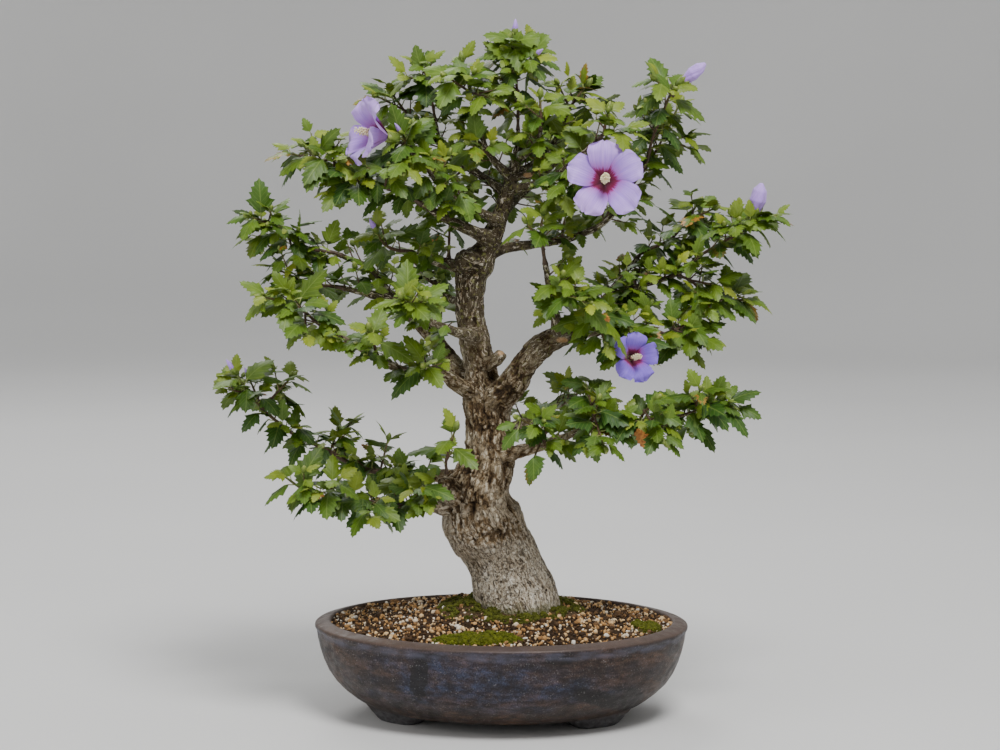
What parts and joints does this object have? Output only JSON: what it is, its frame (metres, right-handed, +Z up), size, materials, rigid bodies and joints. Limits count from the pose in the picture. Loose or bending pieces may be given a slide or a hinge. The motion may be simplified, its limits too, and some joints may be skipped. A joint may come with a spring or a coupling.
{
  "type": "potted bonsai",
  "caption": "Rose of sharon bonsai, an informal upright with lavender blooms, in an oval glazed pot with gravelly soil and moss.",
  "frame": {"origin": "middle of the whole object's bounding box in plan, at the level of the pot's feet", "axes": "+Z up; seen from the front the viewer looks along +Y and +X is to the right"},
  "size_m": [0.5586, 0.3502, 0.6616],
  "materials": {
    "pot_glaze": "semi-gloss mottled glaze",
    "soil": "rough gravel",
    "moss": "matt",
    "bark": "rough",
    "foliage": "satin",
    "petals": "matt",
    "pollen_column": "matt"
  },
  "bodies": {
    "root": {"bloom_front_column": "pollen_column", "bloom_front_petals": "petals", "bloom_side_column": "pollen_column", "bloom_side_petals": "petals", "bloom_small_column": "pollen_column", "bloom_small_petals": "petals", "far_bud_petals": "petals", "moss_front": "moss", "moss_right": "moss", "moss_round_trunk": "moss", "pot": "pot_glaze", "soil": "soil", "spray_back_low": "foliage", "spray_back_middle": "foliage", "spray_back_top": "foliage", "spray_crown_far_left": "foliage", "spray_crown_far_left_inner": "foliage", "spray_crown_fork": "foliage", "spray_crown_front": "foliage", "spray_crown_left": "foliage", "spray_crown_left_inner": "foliage", "spray_crown_middle": "foliage", "spray_crown_right": "foliage", "spray_far_right_bud": "foliage", "spray_front_flower": "foliage", "spray_front_middle": "foliage", "spray_knob_left": "foliage", "spray_knob_shoot": "foliage", "spray_leader": "foliage", "spray_long_left": "foliage", "spray_long_right": "foliage", "spray_long_right_base": "foliage", "spray_long_right_inner": "foliage", "spray_long_right_middle": "foliage", "spray_low_left": "foliage", "spray_low_right": "foliage", "spray_low_right_inner": "foliage", "spray_low_right_middle": "foliage", "spray_low_right_root": "foliage", "spray_right_level": "foliage", "spray_right_level_front": "foliage", "spray_right_long": "foliage", "spray_right_long_inner": "foliage", "spray_right_rising": "foliage", "spray_right_upright": "foliage", "spray_right_upright_inner": "foliage", "spray_second_left": "foliage", "spray_side_flower": "foliage", "spray_small_flower": "foliage", "spray_thick_left": "foliage", "spray_thick_left_inner": "foliage", "spray_thick_left_middle": "foliage", "spray_third_left": "foliage", "spray_third_left_middle": "foliage", "spray_trunk_shoot": "foliage", "spray_upper_left": "foliage", "spray_upper_left_inner": "foliage", "spray_yellow_rosette": "foliage", "upper_bud_petals": "petals", "wood": "bark"}
  },
  "joints": []
}
